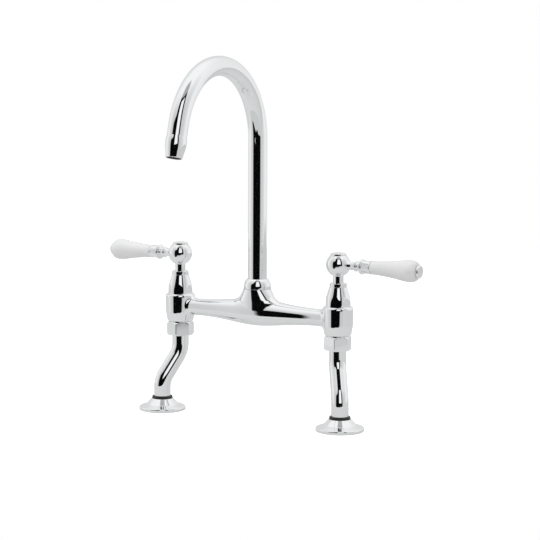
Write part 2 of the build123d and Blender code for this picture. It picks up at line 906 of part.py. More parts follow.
os.makedirs("parts", exist_ok=True)
save("bridge_casting", bridge_casting())
build_spout()
for side_name, side_sign in sides.items():
    build_side(side_name, side_sign)
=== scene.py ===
import bpy
import json
import math
import numpy as np
from mathutils import Matrix, Vector


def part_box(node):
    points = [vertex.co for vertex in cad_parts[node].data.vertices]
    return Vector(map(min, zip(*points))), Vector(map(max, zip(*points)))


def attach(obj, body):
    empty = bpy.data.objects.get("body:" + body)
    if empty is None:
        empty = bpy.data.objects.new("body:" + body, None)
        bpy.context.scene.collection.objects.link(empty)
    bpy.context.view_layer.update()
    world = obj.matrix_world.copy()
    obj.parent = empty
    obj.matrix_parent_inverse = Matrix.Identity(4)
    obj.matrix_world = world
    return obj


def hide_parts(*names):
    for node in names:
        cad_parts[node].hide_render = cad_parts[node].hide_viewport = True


# The looks of a twin lever bridge mixer tap: chromed brass with white porcelain grips.
# Metres, +Z up, the origin on the worktop midway between the two tails, the user on the -Y side.

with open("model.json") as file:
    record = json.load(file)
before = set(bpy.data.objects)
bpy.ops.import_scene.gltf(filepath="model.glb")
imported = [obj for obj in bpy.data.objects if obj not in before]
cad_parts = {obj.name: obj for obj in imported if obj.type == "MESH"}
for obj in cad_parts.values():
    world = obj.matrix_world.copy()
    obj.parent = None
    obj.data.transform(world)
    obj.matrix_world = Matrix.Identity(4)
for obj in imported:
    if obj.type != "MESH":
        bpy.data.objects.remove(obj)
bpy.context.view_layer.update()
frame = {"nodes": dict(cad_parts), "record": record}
mm = 0.001
sides = {"left": -1, "right": 1}

# How finely round shapes are made, and how close two points are before they are one
turn_steps = 128
rough_steps = 64
neck_steps = 96
thread_steps = 72
hexagon_steps = 240
ball_steps = 44
arm_steps = 60
leg_bend_steps = 20
arch_steps = 200
arc_step = math.radians(9)
weld = 0.002 * mm
sharp_edge = math.radians(32)

# The casting's mesh: its size, how often its points are evened out and how far each time, and the least
# slope that they are drawn onto the skin by
casting_mesh = 0.62 * mm
casting_rounds = 14
casting_evening = 0.6
least_slope = 0.2

# Places that the frame gives


def middle(node):
    low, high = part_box(node)
    return (low + high) / 2


# What the casting stands clear of the union nuts and of the domed nut
nut_gap = 0.95 * mm
dome_gap = 0.05 * mm

valve_x = middle("right_union_nut").x
bridge_y = middle("right_union_nut").y
foot_x = middle("right_foot_flange").x
body_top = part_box("right_bonnet")[0].z
bonnet_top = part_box("right_bonnet")[1].z
nut_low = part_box("right_union_nut")[0].z
nut_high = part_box("right_union_nut")[1].z
body_foot = nut_high + nut_gap
tail_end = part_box("right_leg_tail")[0].z
leg_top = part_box("right_leg_tube")[1].z
flange_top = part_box("right_foot_flange")[1].z
foot_ring_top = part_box("right_foot_ring")[1].z
column_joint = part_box("spout_collar")[0].z - dome_gap

# Bridge: two barrels, two arms that swell to a belly, and the column
bridge_height = 111.7 * mm
arm_radius = 9.05 * mm
arm_mid = 34 * mm
arm_mid_radius = 11.5 * mm
arm_start = 24 * mm
belly_radius = 14.3 * mm
arm_fillet = 5 * mm
column_radius = 14.6 * mm
column_foot_radius = 13.9 * mm
column_flare = 0.58
column_fillet = 5 * mm
column_depth = 13 * mm
barrel_top_radius = 15.95 * mm
barrel_waist_radius = 15.7 * mm
barrel_waist_height = 10 * mm
barrel_foot_radius = 13.9 * mm
barrel_shoulder = 3 * mm
barrel_foot_round = 1.4 * mm
neck_radius = 11.2 * mm
neck_length = 0.9 * mm
neck_lap = 1 * mm
union_thread_radius = 10.675 * mm
union_tail = 7.6 * mm

# Spanner flats, in millimetres as the outlines are, and how far each bonnet and nut is turned
bonnet_flats = 24.5
nut_flats = 25.8
bonnet_turns = {"left": 23, "right": 13}
nut_turns = {"left": -18, "right": -16}

# Ball hub and its cap, from the ball's centre
ball_above_joint = 42.8 * mm
ball_radius = 12.9 * mm
ball_flat = 9.5 * mm
hub_neck_radius = 5.6 * mm
hub_pocket_radius = 6 * mm
hub_pocket_depth = 8 * mm
hub_web = 4.8 * mm
hub_bore = 4.03 * mm
hub_neck_entry = 2 * mm

# Spout
spout_radius = 10 * mm
spout_wall = 1.2 * mm
spout_seat = 6.95 * mm
spout_foot = column_joint + spout_seat
riser_top = 292.9 * mm
arch_radius = 76.7 * mm
arch_sweep = 165
spout_straight_end = 14.5 * mm
nozzle_socket = 4 * mm
socket_clearance = 0.03 * mm
socket_step = 0.02 * mm

# Legs
leg_radius = 9 * mm
leg_bore = 6.6 * mm
leg_slope = 34
leg_bend_radius = 26 * mm

# Levers: how far they droop, and how far each stands off the bridge's line, in degrees
lever_droop = 0.9
lever_rests = {"left": -5, "right": 0}


# Outlines, as (radius, height) points


def rounded_corner(before, corner, after, radius):
    """The corner as an arc that touches both of its lines."""
    back = (before - corner).normalized()
    ahead = (after - corner).normalized()
    half = back.angle(ahead) / 2
    reach = radius / math.tan(half)
    centre = corner + (back + ahead).normalized() * radius / math.sin(half)
    first = (corner + back * reach - centre).normalized()
    last = (corner + ahead * reach - centre).normalized()
    steps = max(2, math.ceil((math.pi - 2 * half) / arc_step))
    return [centre + first.slerp(last, step / steps) * radius for step in range(steps + 1)]


def outline(*corners):
    """Corners are (radius, height) in millimetres, with the corner's round after them if it has one."""
    points = []
    for number, corner in enumerate(corners):
        here = Vector(corner[:2]) * mm
        if len(corner) == 2:
            points.append(here)
        else:
            before = Vector(corners[number - 1][:2]) * mm
            after = Vector(corners[number + 1][:2]) * mm
            points += rounded_corner(before, here, after, corner[2] * mm)
    return points


def flowing(points, first, last, steps):
    """A smooth line through points in millimetres, leaving along first and arriving along last."""
    places = np.array(points, float) * mm
    spans = np.linalg.norm(np.diff(places, axis=0), axis=1)
    count = len(places)
    matrix = np.eye(count)
    wanted = np.zeros((count, 2))
    wanted[0] = np.array(first) / np.linalg.norm(first)
    wanted[-1] = np.array(last) / np.linalg.norm(last)
    for n in range(1, count - 1):
        before, after = spans[n - 1], spans[n]
        matrix[n, n - 1:n + 2] = after, 2 * (before + after), before
        rise_before = (places[n] - places[n - 1]) / before
        rise_after = (places[n + 1] - places[n]) / after
        wanted[n] = 3 * (after * rise_before + before * rise_after)
    slopes = np.linalg.solve(matrix, wanted)
    line = [Vector(places[0])]
    for n, span in enumerate(spans):
        for t in np.linspace(0, 1, steps + 1)[1:]:
            line.append(Vector(
                places[n] * (1 + 2 * t) * (1 - t) ** 2 + places[n + 1] * t * t * (3 - 2 * t)
                + span * (slopes[n] * t * (1 - t) ** 2 - slopes[n + 1] * t * t * (1 - t))
            ))
    return line


def divided(points, longest):
    """The same outline with its long stretches cut into shorter ones."""
    line = [points[0]]
    for here, there in zip(points, points[1:]):
        parts = max(1, math.ceil((there - here).length / longest))
        line += [here.lerp(there, part / parts) for part in range(1, parts + 1)]
    return line


# Modelling


def turned(name, points, steps=turn_steps):
    """Turns an outline about the Z axis: a point drawn out into a chain of edges, then spun."""
    bpy.ops.mesh.primitive_plane_add(size=mm, location=(points[0].x, 0, points[0].y))
    piece = bpy.context.object
    piece.name = name
    bpy.ops.object.transform_apply(location=True)
    bpy.ops.object.mode_set(mode="EDIT")
    bpy.ops.mesh.merge(type="CENTER")
    for here, there in zip(points, points[1:]):
        step = there - here
        bpy.ops.mesh.extrude_vertices_move(TRANSFORM_OT_translate={"value": (step.x, 0, step.y)})
    bpy.ops.mesh.select_all(action="SELECT")
    bpy.ops.mesh.spin(steps=steps, angle=2 * math.pi, center=(0, 0, 0), axis=(0, 0, 1))
    tidy_mesh()
    return piece


def tidy_mesh():
    """Merges doubles and turns all faces outwards, then leaves edit mode."""
    bpy.ops.mesh.select_all(action="SELECT")
    bpy.ops.mesh.remove_doubles(threshold=weld)
    bpy.ops.mesh.normals_make_consistent(inside=False)
    bpy.ops.object.mode_set(mode="OBJECT")


def ring(name, radius, place):
    """An open ring of edges, from which a pipe is drawn out. Leaves it in edit mode."""
    bpy.ops.mesh.primitive_circle_add(vertices=turn_steps, radius=radius, location=place)
    piece = bpy.context.object
    piece.name = name
    bpy.ops.object.transform_apply(location=True)
    bpy.ops.object.mode_set(mode="EDIT")
    bpy.ops.mesh.select_all(action="SELECT")
    return piece


def draw_out(way):
    """Extrudes the open ring along a way."""
    bpy.ops.mesh.extrude_region_move(TRANSFORM_OT_translate={"value": tuple(way)})


def bend(centre, axis, degrees, steps):
    """Spins the open ring about an axis."""
    bpy.ops.mesh.spin(steps=steps, angle=-math.radians(degrees), center=tuple(centre), axis=tuple(axis))


def give_wall(piece, thickness):
    """Turns the open skin into a pipe with a wall, inwards from the skin."""
    solidify = piece.modifiers.new("wall", "SOLIDIFY")
    solidify.thickness = thickness
    solidify.offset = -1
    solidify.use_even_offset = True
    bpy.ops.object.modifier_apply(modifier=solidify.name)


def choose(pieces):
    """Selects these pieces alone, the first of them active."""
    bpy.ops.object.select_all(action="DESELECT")
    for piece in pieces:
        piece.select_set(True)
    bpy.context.view_layer.objects.active = pieces[0]


def finish(piece, body, slot, node, place=None):
    """Puts a finished piece in its place, shades it, and hangs it on its body."""
    if place is not None:
        piece.data.transform(place)
    choose([piece])
    bpy.ops.object.shade_smooth_by_angle(angle=sharp_edge)
    bpy.ops.object.select_all(action="DESELECT")
    piece.data.materials.clear()
    piece.data.materials.append(finishes[slot])
    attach(piece, body)
    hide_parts(node)


def points_of(piece):
    places = np.empty(len(piece.data.vertices) * 3)
    piece.data.vertices.foreach_get("co", places)
    return places.reshape(-1, 3)


def move_points(piece, places):
    piece.data.vertices.foreach_set("co", places.astype(np.float32).ravel())
    piece.data.update()


def file_flats(piece, across, corner_round, edge_round, inside):
    """Pulls what stands outside a hexagon in onto its flats. A corner points along +X."""
    places = points_of(piece)
    radius = np.hypot(places[:, 0], places[:, 1])
    angle = np.arctan2(places[:, 1], places[:, 0])
    sixth = math.pi / 3
    from_corner = np.abs((angle + sixth / 2) % sixth - sixth / 2)
    flat = across / 2 / np.cos(sixth / 2 - from_corner)
    flat = np.minimum(flat, (across / 2 - corner_round) / math.cos(sixth / 2) + corner_round)
    near = np.maximum(edge_round - np.abs(radius - flat), 0) / edge_round
    wanted = np.minimum(radius, flat) - near ** 2 * edge_round / 4
    share = np.where(radius > inside, wanted / np.maximum(radius, weld), 1)
    places[:, :2] *= share[:, None]
    move_points(piece, places)


# Materials


def linear(colour):
    """The linear light of an sRGB colour written as #rrggbb."""
    shares = [int(colour[n:n + 2], 16) / 255 for n in (1, 3, 5)]
    return [s / 12.92 if s <= 0.04045 else ((s + 0.055) / 1.055) ** 2.4 for s in shares] + [1.0]


def connect(tree, node, inputs):
    """Sets a node's inputs to values, or links them to a socket or to another node's first output."""
    for key, value in inputs.items():
        if isinstance(value, bpy.types.Node):
            value = value.outputs[0]
        if isinstance(value, bpy.types.NodeSocket):
            tree.links.new(value, node.inputs[key])
        else:
            node.inputs[key].default_value = value


def add(tree, kind, inputs=None, stops=(), **settings):
    """Adds a node with its settings and links, and a ramp's stops, each (place, colour or grey)."""
    made = tree.nodes.new(kind)
    for key, value in settings.items():
        setattr(made, key, value)
    connect(tree, made, inputs or {})
    if stops:
        elements = made.color_ramp.elements
        elements.remove(elements[1])
    for number, (place, tone) in enumerate(stops):
        element = elements[0] if number == 0 else elements.new(place)
        element.position = place
        element.color = linear(tone) if isinstance(tone, str) else (tone, tone, tone, 1)
    return made


def new_material(name):
    material = bpy.data.materials.new(name)
    material.use_nodes = True
    tree = material.node_tree
    place = add(tree, "ShaderNodeTexCoord").outputs["Object"]
    return material, tree, tree.nodes["Principled BSDF"], place


# A noise's scale is one over the size of its patches


def polished_chrome():
    """Nickel and chromium plating on hand-polished brass: a mirror with a cool white and the faintest
    waviness from the buffing wheel, and wiping haze that only just dulls it in patches."""
    material, tree, shader, place = new_material("chromium_plate_on_polished_brass")
    haze = add(tree, "ShaderNodeTexNoise", {"Vector": place, "Scale": 1 / (14 * mm), "Detail": 5})
    dulled = add(tree, "ShaderNodeValToRGB", {"Fac": haze}, [(0.35, 0.035), (0.7, 0.06)])
    wave = add(tree, "ShaderNodeTexNoise", {"Vector": place, "Scale": 1 / (7 * mm), "Detail": 1})
    relief = add(tree, "ShaderNodeBump", {"Height": wave, "Distance": 0.004 * mm})
    connect(tree, shader, {
        "Base Color": linear("#f3f4f5"), "Metallic": 1, "Roughness": dulled, "Normal": relief})
    return material


def glazed_porcelain():
    """White porcelain under a clear fired glaze: a milky body, with a wet gloss over soft ripples."""
    material, tree, shader, place = new_material("clear_glaze_on_white_porcelain")
    cloud = add(tree, "ShaderNodeTexNoise", {"Vector": place, "Scale": 1 / (30 * mm), "Detail": 3})
    body = add(tree, "ShaderNodeValToRGB", {"Fac": cloud}, [(0.3, "#efeff0"), (0.7, "#f4f4f5")])
    ripple = add(tree, "ShaderNodeTexNoise", {"Vector": place, "Scale": 1 / (5 * mm), "Detail": 1})
    relief = add(tree, "ShaderNodeBump", {"Height": ripple, "Distance": 0.01 * mm})
    connect(tree, shader, {
        "Base Color": body, "Roughness": 0.32, "Coat Weight": 1, "Coat Roughness": 0.04,
        "Subsurface Weight": 0.06, "Subsurface Radius": (1.2 * mm, 1.1 * mm, 1.0 * mm),
        "Subsurface Scale": 1, "Normal": relief,
    })
    return material


def black_rubber():
    """Moulded nitrile rubber: near black, satin, with a fine moulded grain that breaks up its shine."""
    material, tree, shader, place = new_material("moulded_nitrile_rubber")
    cloud = add(tree, "ShaderNodeTexNoise", {"Vector": place, "Scale": 1 / (3 * mm), "Detail": 4})
    tone = add(tree, "ShaderNodeValToRGB", {"Fac": cloud}, [(0.35, "#141414"), (0.7, "#1f1f1e")])
    grain = add(tree, "ShaderNodeTexNoise", {"Vector": place, "Scale": 1 / (0.35 * mm), "Detail": 3})
    relief = add(tree, "ShaderNodeBump", {"Height": grain, "Distance": 0.02 * mm})
    connect(tree, shader, {"Base Color": tone, "Roughness": 0.42, "Normal": relief})
    return material


def machined_brass():
    """Turned brass: warm yellow, with the lathe's feed lines round it and darker where it has aged."""
    material, tree, shader, place = new_material("turned_brass")
    age = add(tree, "ShaderNodeTexNoise", {"Vector": place, "Scale": 1 / (9 * mm), "Detail": 5})
    tone = add(tree, "ShaderNodeValToRGB", {"Fac": age}, [(0.3, "#b98f4a"), (0.7, "#d8b56c")])
    feed = add(tree, "ShaderNodeTexWave", {
        "Vector": place, "Scale": 0.05 / (0.3 * mm), "Distortion": 0.4}, bands_direction="Z").outputs["Fac"]
    lines = add(tree, "ShaderNodeValToRGB", {"Fac": feed}, [(0, 0.24), (1, 0.36)])
    relief = add(tree, "ShaderNodeBump", {"Height": feed, "Distance": 0.008 * mm})
    connect(tree, shader, {"Base Color": tone, "Metallic": 1, "Roughness": lines, "Normal": relief})
    return material


def stainless_steel():
    """Bright stainless steel, stamped or turned: cool grey with short fine scratches one way."""
    material, tree, shader, place = new_material("stamped_stainless_steel")
    drawn = add(tree, "ShaderNodeMapping", {"Vector": place, "Scale": (1, 12, 1)})
    scratches = add(tree, "ShaderNodeTexNoise", {"Vector": drawn, "Scale": 1 / (1.5 * mm), "Detail": 4})
    dulled = add(tree, "ShaderNodeValToRGB", {"Fac": scratches}, [(0.3, 0.2), (0.7, 0.38)])
    relief = add(tree, "ShaderNodeBump", {"Height": scratches, "Distance": 0.004 * mm})
    connect(tree, shader, {
        "Base Color": linear("#c8c8c6"), "Metallic": 1, "Roughness": dulled, "Normal": relief})
    return material


def fibre_washer():
    """Pressed vulcanised fibre: red brown and matt, flecked with its paper fibres."""
    material, tree, shader, place = new_material("pressed_vulcanised_fibre")
    drawn = add(tree, "ShaderNodeMapping", {"Vector": place, "Scale": (1, 4, 4)})
    flecks = add(tree, "ShaderNodeTexNoise", {"Vector": drawn, "Scale": 1 / (0.9 * mm), "Detail": 4})
    tone = add(tree, "ShaderNodeValToRGB", {"Fac": flecks}, [(0.3, "#5e2318"), (0.7, "#86402c")])
    relief = add(tree, "ShaderNodeBump", {"Height": flecks, "Distance": 0.03 * mm})
    connect(tree, shader, {"Base Color": tone, "Roughness": 0.75, "Normal": relief})
    return material


def alumina_disc():
    """Lapped alumina: off white, flat and dense, with a dull sheen and a few grey grains."""
    material, tree, shader, place = new_material("lapped_alumina")
    grains = add(tree, "ShaderNodeTexNoise", {"Vector": place, "Scale": 1 / (0.5 * mm), "Detail": 3})
    tone = add(tree, "ShaderNodeValToRGB", {"Fac": grains}, [(0.3, "#dfded8"), (0.65, "#f1f0ea")])
    relief = add(tree, "ShaderNodeBump", {"Height": grains, "Distance": 0.003 * mm})
    connect(tree, shader, {"Base Color": tone, "Roughness": 0.28, "Normal": relief})
    return material


def white_acetal():
    """Injection moulded acetal: milky white, waxy, with a fine spark-eroded grain."""
    material, tree, shader, place = new_material("moulded_white_acetal")
    cloud = add(tree, "ShaderNodeTexNoise", {"Vector": place, "Scale": 1 / (4 * mm), "Detail": 3})
    tone = add(tree, "ShaderNodeValToRGB", {"Fac": cloud}, [(0.3, "#e4e4e0"), (0.7, "#efefec")])
    grain = add(tree, "ShaderNodeTexNoise", {"Vector": place, "Scale": 1 / (0.3 * mm), "Detail": 2})
    relief = add(tree, "ShaderNodeBump", {"Height": grain, "Distance": 0.01 * mm})
    connect(tree, shader, {
        "Base Color": tone, "Roughness": 0.38, "Subsurface Weight": 0.1,
        "Subsurface Radius": (0.8 * mm, 0.8 * mm, 0.8 * mm), "Subsurface Scale": 1, "Normal": relief,
    })
    return material


def painted_shade_acetal():
    """Injection moulded acetal made nearly black as painted shade: it keeps the spout's mouth dark."""
    material, tree, shader, place = new_material("moulded_acetal_painted_shade")
    cloud = add(tree, "ShaderNodeTexNoise", {"Vector": place, "Scale": 1 / (3 * mm), "Detail": 3})
    # Painted shade: a near black tone in place of the dark shade and reflection inside the spout's mouth
    tone = add(tree, "ShaderNodeValToRGB", {"Fac": cloud}, [(0.3, "#1b1b1c"), (0.7, "#262627")])
    grain = add(tree, "ShaderNodeTexNoise", {"Vector": place, "Scale": 1 / (0.3 * mm), "Detail": 2})
    relief = add(tree, "ShaderNodeBump", {"Height": grain, "Distance": 0.01 * mm})
    connect(tree, shader, {"Base Color": tone, "Roughness": 0.45, "Normal": relief})
    return material


# The finish of each material slot, and the aerator's near black, which is painted shade for the spout's
# mouth
finishes = {
    "polished_chrome": polished_chrome(), "glazed_porcelain": glazed_porcelain(),
    "machined_brass": machined_brass(), "black_rubber": black_rubber(), "fibre_washer": fibre_washer(),
    "alumina_disc": alumina_disc(), "stainless_steel": stainless_steel(), "white_acetal": white_acetal(),
}
aerator_painted_shade = painted_shade_acetal()


def finish_cad_nodes():
    """Each node that stays as the frame has it gets its slot's finish; the aerator gets painted shade."""
    slots = {part["node"]: part["material_slot"] for part in frame["record"]["subparts"]}
    for node, piece in frame["nodes"].items():
        piece.data.materials.clear()
        # The aerator takes the near black of painted shade instead of its slot's finish
        piece.data.materials.append(aerator_painted_shade if node == "aerator" else finishes[slots[node]])


# Bridge casting


def at_valve(side, height=0.0):
    return Matrix.Translation((side * valve_x, bridge_y, height))


def arm_line():
    """Radius of the bridge's arm along its length, from the middle out to the valve's axis."""
    half = [(arm_mid, arm_mid_radius), (valve_x - arm_start, arm_radius)]
    knots = [(-x, radius) for x, radius in reversed(half)] + [(0, belly_radius)] + half
    line = flowing([(x / mm, radius / mm) for x, radius in knots], (1, 0), (1, 0), arm_steps)
    return np.array([tuple(point) for point in line if point.x >= 0])


def barrel_line():
    """Radius of a valve body's side by height."""
    waist = Vector((barrel_waist_radius, body_foot + barrel_waist_height))
    foot = Vector((barrel_foot_radius, body_foot))
    top = Vector((barrel_top_radius, body_top))
    line = [foot] + rounded_corner(foot, waist, top, barrel_waist_height) + [top]
    return np.array([tuple(p) for p in line])


def both(a, b, radius):
    """What is inside both shapes, with the edge between them rounded."""
    inner = np.minimum(np.maximum(a, b) + radius, 0)
    return inner + np.hypot(np.maximum(a + radius, 0), np.maximum(b + radius, 0)) - radius


def either(a, b, radius):
    """What is inside either shape, with a hollow round where they meet."""
    return np.maximum(np.minimum(a, b), radius) - np.hypot(
        np.maximum(radius - a, 0), np.maximum(radius - b, 0))


def bridge_distance(places, arm, barrel):
    """How far each point is outside the finished casting. Fillets shrink where two skins run alike."""
    x, y, z = places[:, 0], places[:, 1] - bridge_y, places[:, 2]
    up = z - bridge_height
    from_arm = np.maximum(np.hypot(y, up), weld)
    from_column = np.maximum(np.hypot(x, y), weld)
    arms = np.maximum(from_arm - np.interp(np.abs(x), arm[:, 0], arm[:, 1]), np.abs(x) - valve_x)
    spread = np.interp(up, [0, belly_radius], [column_foot_radius, column_radius])
    wider = 1 + column_flare * np.clip(column_joint - z, 0, column_depth) / column_radius
    stem = np.maximum(np.hypot(x / wider, y) - spread, -up)
    alike = y * y / (from_arm * from_column)
    shape = either(arms, stem, column_fillet * (1 - alike))
    for side in sides.values():
        away = x - side * valve_x
        from_valve = np.maximum(np.hypot(away, y), weld)
        wall = from_valve - np.interp(z, barrel[:, 1], barrel[:, 0])
        body = both(wall, z - body_top, barrel_shoulder)
        body = both(body, body_foot - z, barrel_foot_round)
        alike = y * y / (from_arm * from_valve)
        shape = either(shape, body, arm_fillet * (1 - alike))
    return shape


def onto_skin(places, distance, steps):
    """Moves points along the shape's slope until they lie on its skin."""
    small = 0.01 * mm
    for _ in range(steps):
        value = distance(places)
        slope = np.empty_like(places)
        for axis in range(3):
            shift = np.zeros(3)
            shift[axis] = small
            slope[:, axis] = (distance(places + shift) - distance(places - shift)) / (2 * small)
        length = np.maximum((slope ** 2).sum(1), least_slope)
        reach = np.clip(value / length, -mm, mm)
        places = places - slope * reach[:, None]
    return places


def rough_casting(arm, barrel):
    """Two arms, two barrels and the column, turned roughly and remeshed into one skin."""
    pieces = []
    arm_shape = [Vector((0, 0))] + [Vector((radius, x)) for x, radius in arm]
    arm_shape += [Vector((arm_radius, valve_x)), Vector((0, valve_x))]
    barrel_shape = [Vector((0, body_foot))] + [Vector(point) for point in barrel]
    barrel_shape += [Vector((0, body_top))]
    for side in sides.values():
        tube = turned("arm", arm_shape, rough_steps)
        along = Matrix.Rotation(side * math.pi / 2, 4, "Y")
        tube.data.transform(Matrix.Translation((0, bridge_y, bridge_height)) @ along)
        block = turned("barrel", barrel_shape, rough_steps)
        block.data.transform(at_valve(side))
        pieces += [tube, block]
    above = column_joint + 3 * mm
    post = turned("post", [Vector((0, bridge_height)), Vector((column_radius, bridge_height)),
                           Vector((column_radius, above)), Vector((0, above))], rough_steps)
    post.data.transform(Matrix.Translation((0, bridge_y, 0)))
    choose(pieces + [post])
    bpy.ops.object.join()
    casting = bpy.context.object
    casting.name = "bridge_body"
    remesh = casting.modifiers.new("even", "REMESH")
    remesh.mode = "VOXEL"
    remesh.voxel_size = casting_mesh
    bpy.ops.object.modifier_apply(modifier=remesh.name)
    return casting


def polish(casting, arm, barrel):
    """Evens the casting's mesh out and draws every point onto the true skin."""
    def distance(places):
        return bridge_distance(places, arm, barrel)

    edges = np.empty(len(casting.data.edges) * 2, int)
    casting.data.edges.foreach_get("vertices", edges)
    ends = edges.reshape(-1, 2)
    here, there = np.concatenate([ends, ends[:, ::-1]]).T
    count = np.bincount(here)
    places = points_of(casting)
    for _ in range(casting_rounds):
        average = np.stack([
            np.bincount(here, weights=places[there, axis]) / count for axis in range(3)], axis=1)
        places = onto_skin(places + casting_evening * (average - places), distance, 2)
    move_points(casting, onto_skin(places, distance, 5))


def union_neck(side):
    """The neck and the threaded end under a barrel, inside the union nut."""
    low, shoulder, high = [z / mm for z in (
        body_foot - union_tail, body_foot - neck_length, body_foot + neck_lap)]
    thread, neck = union_thread_radius / mm, neck_radius / mm
    shape = outline((0, low), (thread, low), (thread, shoulder), (neck, shoulder), (neck, high), (0, high))
    piece = turned("neck", shape, neck_steps)
    piece.data.transform(at_valve(side))
    return piece


def bridge_body():
    """The casting. Its arms, barrels and column run into each other as cast and polished metal does,
    which turned and joined pieces alone can't show."""
    arm, barrel = arm_line(), barrel_line()
    casting = rough_casting(arm, barrel)
    polish(casting, arm, barrel)
    bpy.ops.object.mode_set(mode="EDIT")
    bpy.ops.mesh.select_all(action="SELECT")
    bpy.ops.mesh.bisect(
        plane_co=(0, 0, column_joint), plane_no=(0, 0, 1), use_fill=True, clear_outer=True)
    bpy.ops.mesh.select_all(action="SELECT")
    bpy.ops.mesh.normals_make_consistent(inside=False)
    bpy.ops.object.mode_set(mode="OBJECT")
    choose([casting] + [union_neck(side) for side in sides.values()])
    bpy.ops.object.join()
    finish(casting, "bridge", "polished_chrome", "bridge_casting")


# Bonnets and nuts


def bell(name, side):
    """The bell over the cartridge, with six spanner flats and a plain collar round its top."""
    joint = 19.5
    high = (bonnet_top - body_top) / mm
    shell = flowing([(13.1, 0), (12.7, 7.6), (9.4, joint)], (0, 1), (-0.3, 1), 18)
    shell += outline(
        (9.4, joint), (8.5, joint), (8.5, joint + 0.4), (8.95, joint + 0.4, 0.2), (8.95, high, 0.45),
        (5.68, high), (5.68, joint + 1), (7.6, joint - 1), (10.06, 6.25), (10.06, 0), (13.1, 0),
    )[1:]
    piece = turned(f"{name}_bell", divided(shell, 0.8 * mm), hexagon_steps)
    file_flats(piece, bonnet_flats * mm, 0, 0.35 * mm, 10.4 * mm)
    place = at_valve(side, body_top) @ Matrix.Rotation(math.radians(bonnet_turns[name]), 4, "Z")
    finish(piece, "bridge", "polished_chrome", f"{name}_bonnet", place)


def hexagon_nut(name, side):
    """The union nut: six flats, its corners turned away at both ends, threaded inside."""
    low, high = nut_low / mm, nut_high / mm
    corner, chamfer, slope = 14.9, 1.4, 1.62
    shape = outline(
        (9.08, low), (corner - chamfer, low), (corner, low + slope), (corner, high - slope),
        (corner - chamfer, high), (10.7, high), (10.7, low + 3.1), (9.08, low + 3.1), (9.08, low),
    )
    piece = turned(f"{name}_hexagon_nut", divided(shape, 0.45 * mm), hexagon_steps)
    file_flats(piece, nut_flats * mm, 0.5 * mm, 0.25 * mm, 11 * mm)
    place = at_valve(side) @ Matrix.Rotation(math.radians(nut_turns[name]), 4, "Z")
    finish(piece, "bridge", "polished_chrome", f"{name}_union_nut", place)


# Levers


def ball(name, side):
    """The ball hub with its flat top, the screw's pocket, and the neck that enters the bonnet."""
    start = math.asin(ball_flat / ball_radius)
    end = -math.acos(hub_neck_radius / ball_radius)
    skin = [start + (end - start) * step / ball_steps for step in range(ball_steps + 1)]
    neck_low = bonnet_top - body_top - ball_above_joint - hub_neck_entry
    floor = ball_flat - hub_pocket_depth
    shape = [Vector((0, floor)), Vector((hub_pocket_radius, floor)),
             Vector((hub_pocket_radius, ball_flat))]
    shape += [Vector((ball_radius * math.cos(a), ball_radius * math.sin(a))) for a in skin]
    shape += [Vector((hub_neck_radius, neck_low)), Vector((hub_bore, neck_low)),
              Vector((hub_bore, floor - hub_web)), Vector((0, floor - hub_web))]
    flat = ball_flat / mm
    cap = outline(
        (0, flat), (7.5, flat), (7.5, 9.85), (8.4, 9.85, 0.15), (8.4, 11.3, 0.7), (7.2, 12.0), (0, 12.3))
    place = at_valve(side, body_top + ball_above_joint)
    for part, points, node in (("ball", shape, "lever_hub"), ("cap", cap, "index_cap")):
        piece = turned(f"{name}_{part}", points)
        finish(piece, f"{name}_lever", "polished_chrome", f"{name}_{node}", place)


def lever(name, side):
    """Stem with its two beads, ferrule, porcelain grip and end cap, along the lever's own axis."""
    ferrule_start, grip_start, grip_end = 29.2, 38.6, 90.1
    stem = outline(
        (0, 10.4), (4.9, 10.4), (4.3, 16, 6), (4.6, 19.1, 0.4), (5.7, 19.7, 0.8), (5.7, 21.9, 0.8),
        (4.6, 22.5, 0.4), (4.6, 26, 0.5), (8.1, 26, 1.5), (8.1, ferrule_start, 1.5), (0, ferrule_start),
    )
    ferrule = outline(
        (0, ferrule_start), (6.9, ferrule_start, 0.4), (6.9, 37.2, 0.3), (7.2, 37.6, 0.1),
        (7.2, grip_start, 0.15), (0, grip_start),
    )
    grip = outline((2.6, grip_start), (6.6, grip_start))
    grip += flowing([(7, 39), (8.05, 55), (10, 70), (11.3, 82.5), (10.1, 87.6), (6.8, grip_end)],
                    (0.02, 1), (-1, 0.15), 22)
    grip += outline((2.6, grip_end), (2.6, grip_start))
    button = outline((0, grip_end), (6, grip_end), (6, 90.6), (6.7, 90.6, 0.2), (6.7, 93, 0.9), (0, 93))
    place = at_valve(side, body_top + ball_above_joint)
    place = place @ Matrix.Rotation(math.radians(lever_rests[name]), 4, "Z")
    place = place @ Matrix.Rotation(math.radians(side * (90 + lever_droop)), 4, "Y")
    for part, shape, slot, node in (
        ("stem", stem, "polished_chrome", "lever_stem"),
        ("ferrule", ferrule, "polished_chrome", "lever_ferrule"),
        ("porcelain", grip, "glazed_porcelain", "lever_grip"),
        ("end_button", button, "polished_chrome", "lever_end_cap"),
    ):
        finish(turned(f"{name}_{part}", shape), f"{name}_lever", slot, f"{name}_{node}", place)


# Legs


